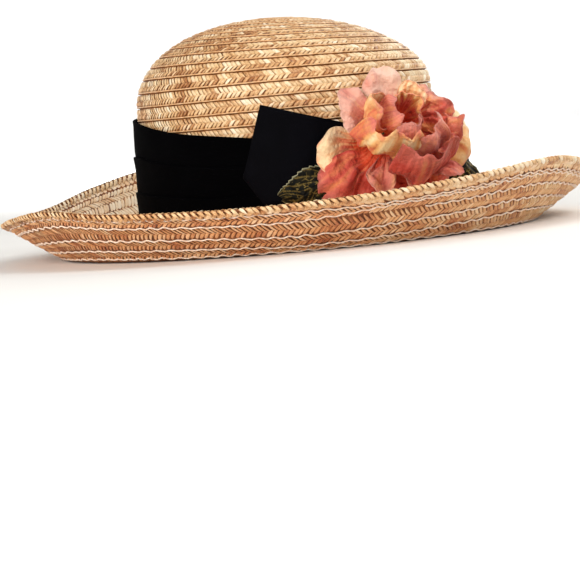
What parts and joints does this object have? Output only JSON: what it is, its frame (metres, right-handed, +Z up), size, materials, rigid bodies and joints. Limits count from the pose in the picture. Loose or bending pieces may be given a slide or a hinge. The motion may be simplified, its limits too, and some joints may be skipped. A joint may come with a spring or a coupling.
{
  "type": "straw hat",
  "caption": "Braided straw sun hat with an upturned brim, a pleated black cloth band, a ribbon loop, a crumpled silk rose and two leaves",
  "frame": {"origin": "on the floor plane, below the middle of the brim's outline", "axes": "+Z up, the front of the hat towards -Y, the wearer's left towards +X"},
  "size_m": [0.356, 0.368, 0.1353],
  "materials": {
    "crown_straw": "braided natural straw, sewn in shingled rows, satin highlights",
    "brim_straw": "braided tan straw with a wavy cream cord on each seam",
    "black_cloth": "matt black pleated cloth",
    "black_ribbon": "stiff black ribbon with a faint blue-grey sheen",
    "calyx": "dark green wrapped cloth",
    "petal_silk": "crumpled dusty pink silk, shaded to orange and peach",
    "leaf_cloth": "stiffened dark green cloth with gold veins and a pale serrated edge"
  },
  "bodies": {
    "root": {"crown": "crown_straw", "brim": "brim_straw", "band": "black_cloth", "bow_loop": "black_ribbon", "rose_core": "calyx", "petal_heart_a": "petal_silk", "petal_heart_b": "petal_silk", "petal_heart_c": "petal_silk", "petal_fold": "petal_silk", "petal_crest": "petal_silk", "petal_frill": "petal_silk", "petal_ridge": "petal_silk", "petal_collar": "petal_silk", "petal_bud": "petal_silk", "petal_lip": "petal_silk", "petal_top": "petal_silk", "petal_top_left": "petal_silk", "petal_curl": "petal_silk", "petal_point": "petal_silk", "petal_tip": "petal_silk", "petal_tuck": "petal_silk", "petal_left": "petal_silk", "petal_droop": "petal_silk", "petal_back_right": "petal_silk", "petal_back_low": "petal_silk", "leaf_left": "leaf_cloth", "leaf_right": "leaf_cloth"}
  },
  "joints": []
}
